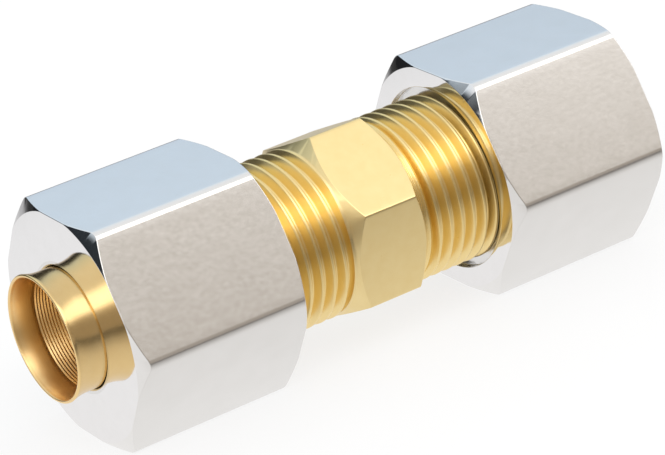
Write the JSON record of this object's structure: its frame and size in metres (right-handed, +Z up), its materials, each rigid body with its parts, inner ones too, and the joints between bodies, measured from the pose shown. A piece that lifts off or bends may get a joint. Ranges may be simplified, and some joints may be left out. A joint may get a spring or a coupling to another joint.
{
  "type": "copper pipe coupling",
  "caption": "Straight compression coupling for copper pipe: a brass body with a central hexagon and male threads, nickel-plated hexagon nuts and thin brass sleeves with flared lips.",
  "frame": {"origin": "centre of the coupling on the pipe axis, midway between the two nuts", "axes": "X along the pipe axis, +X out of the right nut; Z up, with a flat of each nut underneath"},
  "size_m": [0.0896, 0.0342, 0.03],
  "materials": {
    "brass_body": "machined brass with bright tool-cut threads and satin flats",
    "nickel_plate": "satin nickel plate on the flats, polished end faces",
    "brass_sleeve": "bright turned brass with fine tool marks in the bore"
  },
  "bodies": {
    "body": {"coupling_body": "brass_body"},
    "left_sleeve": {"left_sleeve": "brass_sleeve"},
    "left_nut": {"left_nut": "nickel_plate"},
    "right_sleeve": {"right_sleeve": "brass_sleeve"},
    "right_nut": {"right_nut": "nickel_plate"}
  },
  "joints": [
    {"name": "left_draw", "type": "slide", "parent": "body", "child": "left_sleeve", "axis": [-1, 0, 0], "range_m": [-0.00715, 0.00544]},
    {"name": "left_turn", "type": "hinge", "parent": "left_sleeve", "child": "left_nut", "pos_m": [-0.02835, 0, 0], "axis": [-1, 0, 0], "range_deg": [-1420, 1081]},
    {"name": "right_draw", "type": "slide", "parent": "body", "child": "right_sleeve", "axis": [1, 0, 0], "range_m": [-0.00715, 0.00544]},
    {"name": "right_turn", "type": "hinge", "parent": "right_sleeve", "child": "right_nut", "pos_m": [0.02835, 0, 0], "axis": [1, 0, 0], "range_deg": [-1420, 1081]}
  ],
  "couplings": [
    {"joint": "left_turn", "follows": "left_draw", "rad_per_m": 3463.7},
    {"joint": "right_turn", "follows": "right_draw", "rad_per_m": 3463.7}
  ]
}
